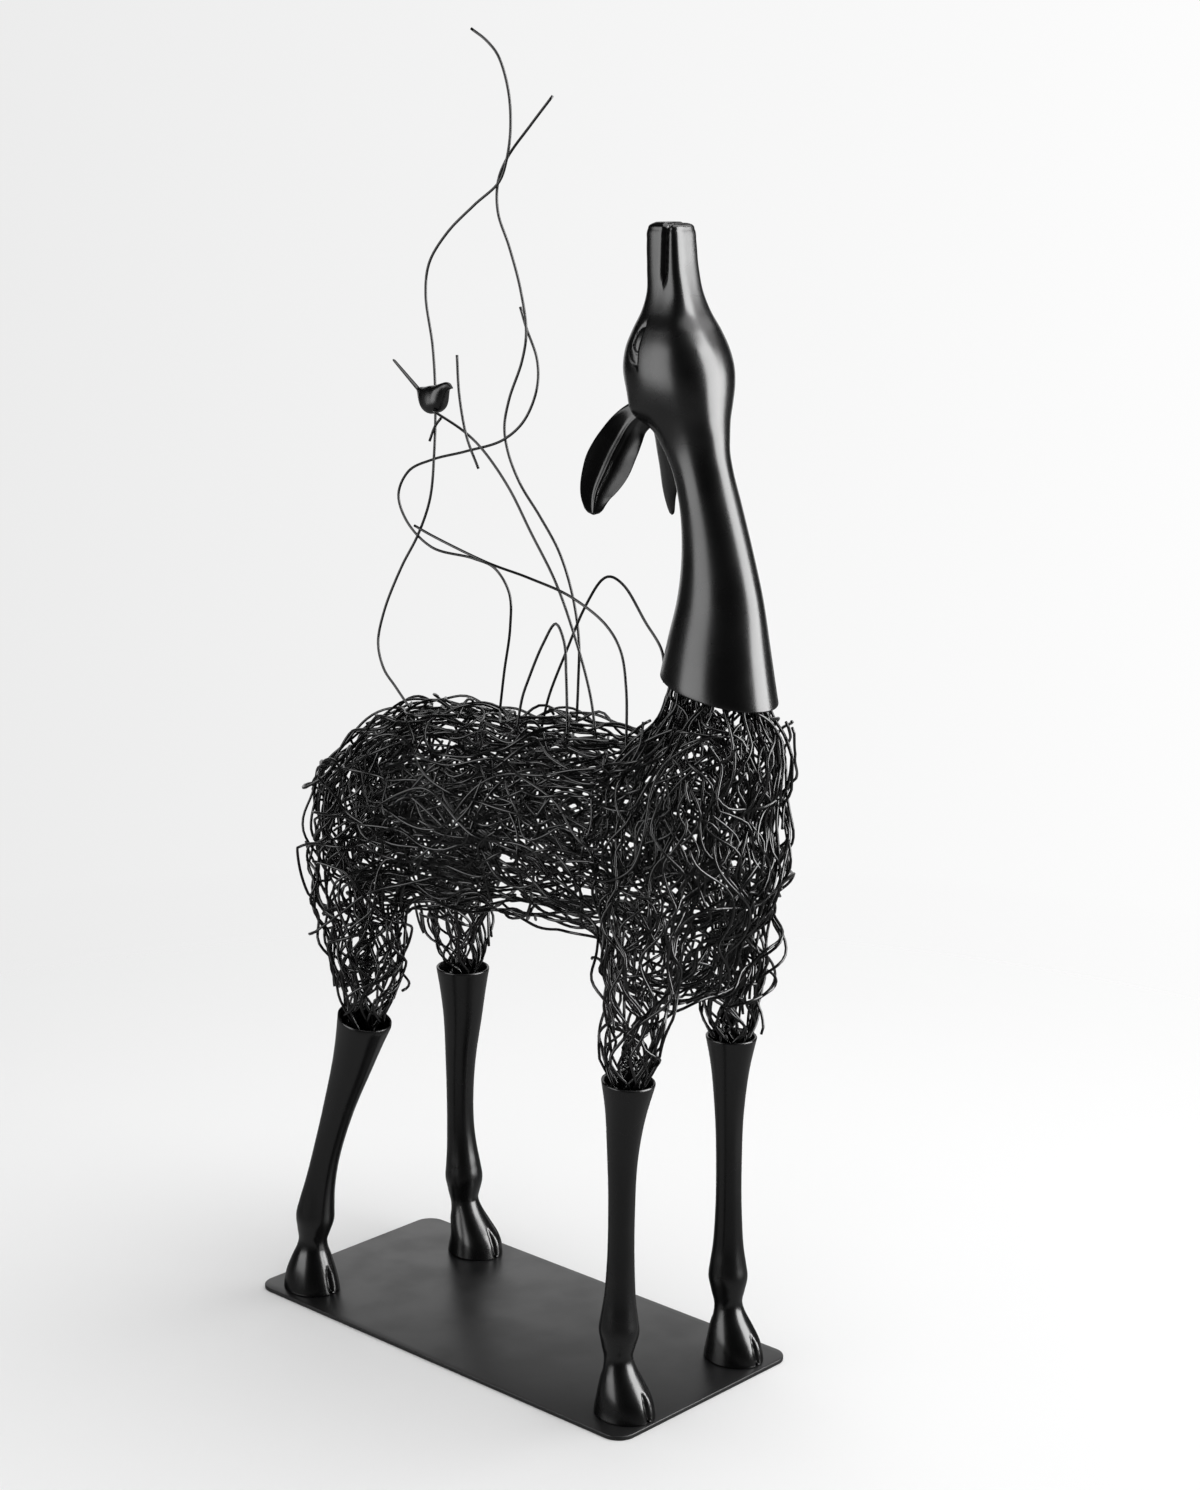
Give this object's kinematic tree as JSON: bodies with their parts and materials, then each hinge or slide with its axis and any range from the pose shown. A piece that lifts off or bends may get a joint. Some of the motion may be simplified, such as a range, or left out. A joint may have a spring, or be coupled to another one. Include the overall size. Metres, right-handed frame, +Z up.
{
  "type": "deer sculpture",
  "caption": "Standing deer with raised muzzle: cast head, neck and lower legs, body of tangled wire, bent wire branches and a small bird on its back, on a flat plate.",
  "frame": {"origin": "centre of the base plate's underside", "axes": "+Z up, +X the way the deer faces, -Y towards its right side"},
  "size_m": [0.6954, 0.29, 1.4835],
  "materials": {
    "plate": "satin black paint",
    "casting": "semi-gloss black paint over a smooth casting",
    "wire": "semi-gloss black paint on bent wire"
  },
  "bodies": {
    "root": {"base_plate": "plate", "head_and_neck": "casting", "front_right_leg": "casting", "front_left_leg": "casting", "hind_right_leg": "casting", "hind_left_leg": "casting", "wire_body": "wire", "branch_tall_bare": "wire", "branch_tall_forked": "wire", "branch_looping": "wire", "branch_under_bird": "wire", "branch_to_neck": "wire", "branch_small_arch": "wire", "branch_large_arch": "wire", "branch_twig": "wire", "branch_stub": "wire", "bird": "casting"}
  },
  "joints": []
}
